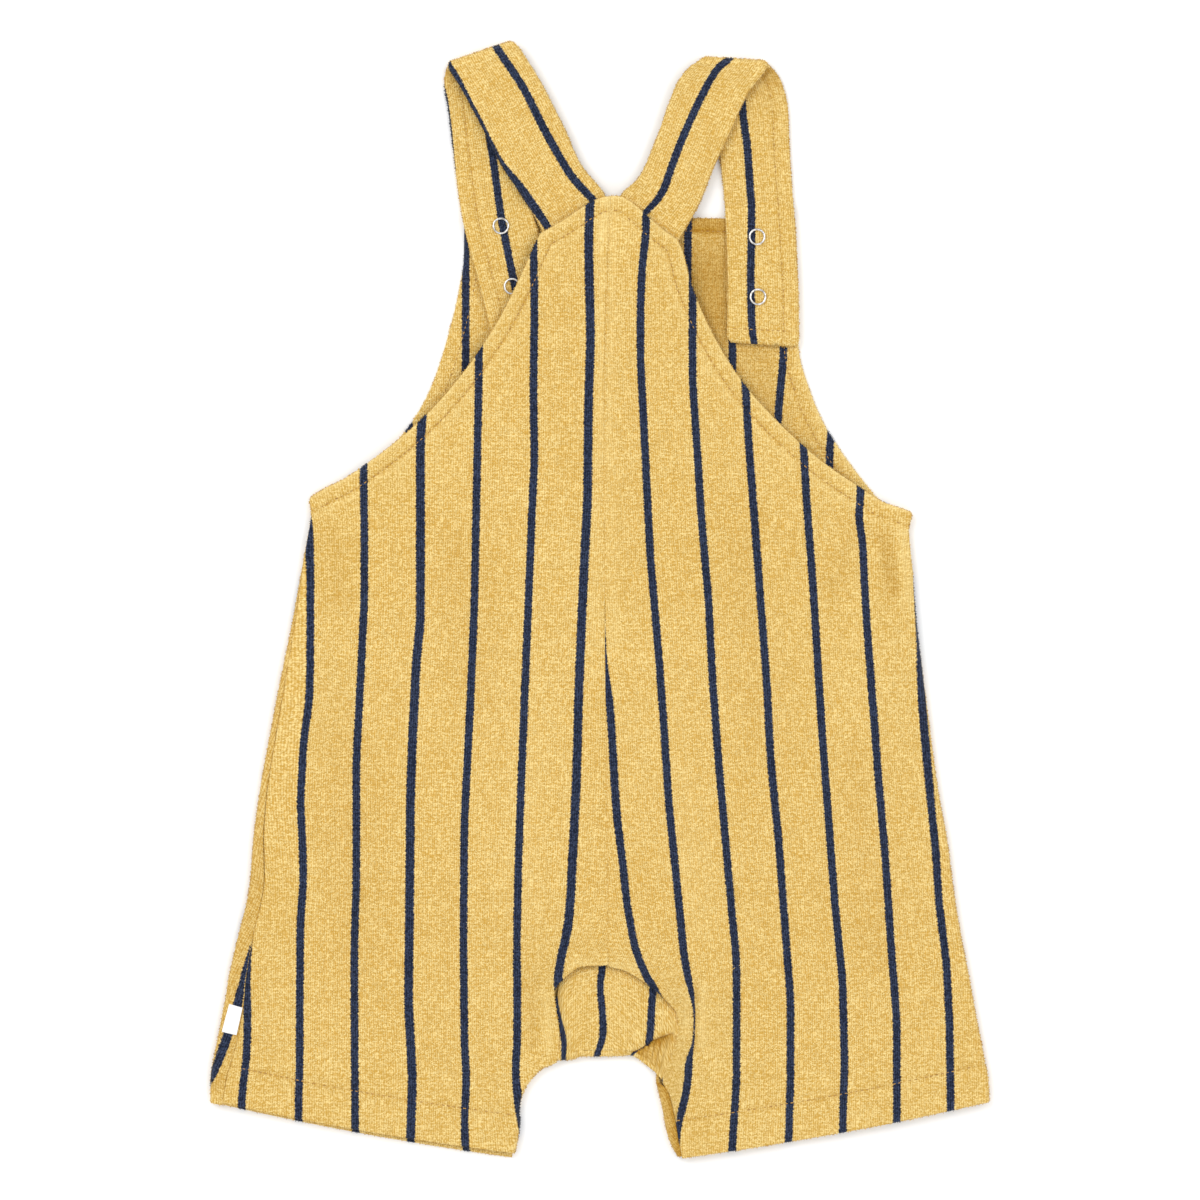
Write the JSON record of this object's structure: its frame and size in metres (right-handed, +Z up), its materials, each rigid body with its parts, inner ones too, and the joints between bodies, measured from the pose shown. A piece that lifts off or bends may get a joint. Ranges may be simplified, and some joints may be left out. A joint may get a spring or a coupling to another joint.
{
  "type": "baby romper",
  "caption": "Short dungaree romper in striped towelling, laid flat back up: bib, crossed-over shoulder straps with snap rings, crotch gusset and side flag label.",
  "frame": {"origin": "middle of the outline's box, on the surface the romper lies on", "axes": "+X to the viewer's right as it lies back up, +Y from the leg hems to the shoulder straps, +Z up from the surface, out of the back"},
  "size_m": [0.335, 0.4799, 0.01],
  "materials": {
    "towelling": "matt looped pile, mustard with narrow navy stripes",
    "snap": "satin metal ring",
    "label": "plain white woven tape"
  },
  "bodies": {
    "root": {"front": "towelling", "back_left": "towelling", "back_right": "towelling", "gusset": "towelling", "strap_left": "towelling", "strap_right": "towelling", "snap_left_upper": "snap", "snap_left_lower": "snap", "snap_right_upper": "snap", "snap_right_lower": "snap", "label": "label"}
  },
  "joints": []
}
